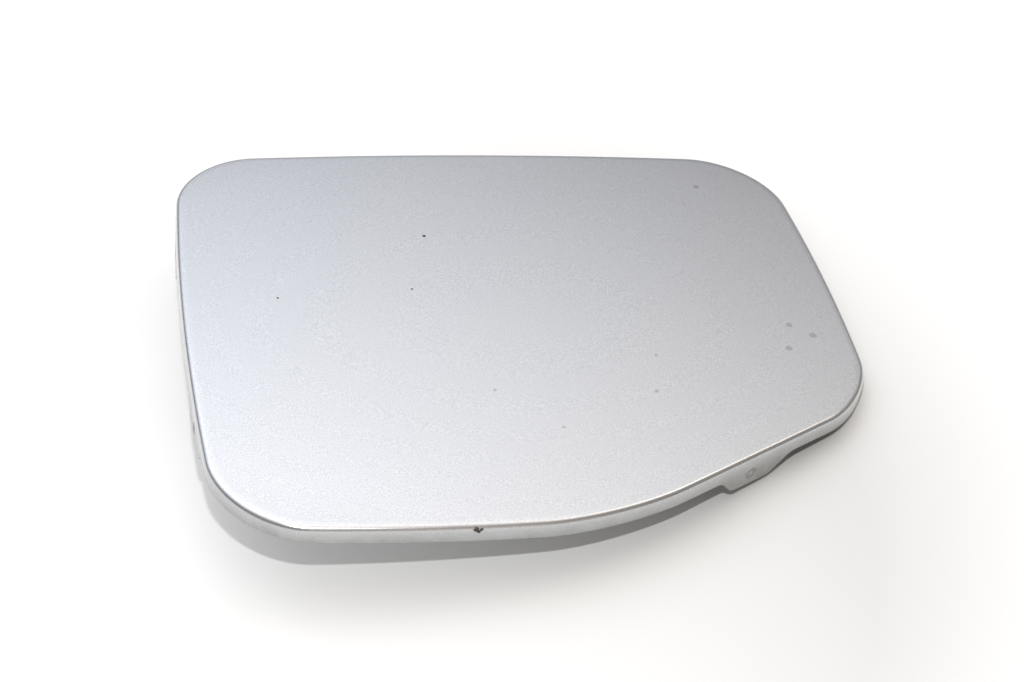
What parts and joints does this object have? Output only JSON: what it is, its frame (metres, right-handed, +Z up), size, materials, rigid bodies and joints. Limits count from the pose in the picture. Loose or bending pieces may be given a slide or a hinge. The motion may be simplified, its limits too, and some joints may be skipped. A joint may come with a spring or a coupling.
{
  "type": "hinged fuel filler flap",
  "caption": "Sheet-metal fuel filler flap with a crowned face, turned flange and weld tabs, on a spring-closed hinge bracket with a latch eye and rubber buffers.",
  "frame": {"origin": "middle of the line of the bracket's two screw holes, on its seating face", "axes": "+X from the hinge to the free edge, +Y along the hinge axis to the back edge, +Z up from the seat"},
  "size_m": [0.1885, 0.1574, 0.0335],
  "materials": {
    "skin_paint": "satin metallic silver",
    "panel_paint": "thin satin silver",
    "paste": "matt",
    "zinc_steel": "zinc plated",
    "yellow_zinc": "yellow zinc plated",
    "nylon": "natural nylon",
    "rivet": "bare",
    "rubber": "matt",
    "pin_steel": "bright",
    "spring_steel": "phosphated"
  },
  "bodies": {
    "bracket": {"hinge_base": "zinc_steel", "hinge_pin": "pin_steel", "pin_clip": "spring_steel", "spring_sleeve": "nylon", "torsion_spring": "spring_steel"},
    "flap": {"outer_skin": "skin_paint", "inner_panel": "panel_paint", "flutter_pads": "paste", "hinge_arm": "zinc_steel", "arm_studs": "yellow_zinc", "arm_nuts": "yellow_zinc", "front_bush": "nylon", "rear_bush": "nylon", "latch_striker": "zinc_steel", "striker_rivets": "rivet", "front_buffer": "rubber", "rear_buffer": "rubber"}
  },
  "joints": [
    {"name": "flap_hinge", "type": "hinge", "parent": "bracket", "child": "flap", "pos_m": [-0.022, 0, 0.018], "axis": [0, -1, 0], "range_deg": [0, 98], "stiffness_Nm_per_rad": 0.08, "springref_deg": -34.38, "deforming": ["torsion_spring"]}
  ]
}
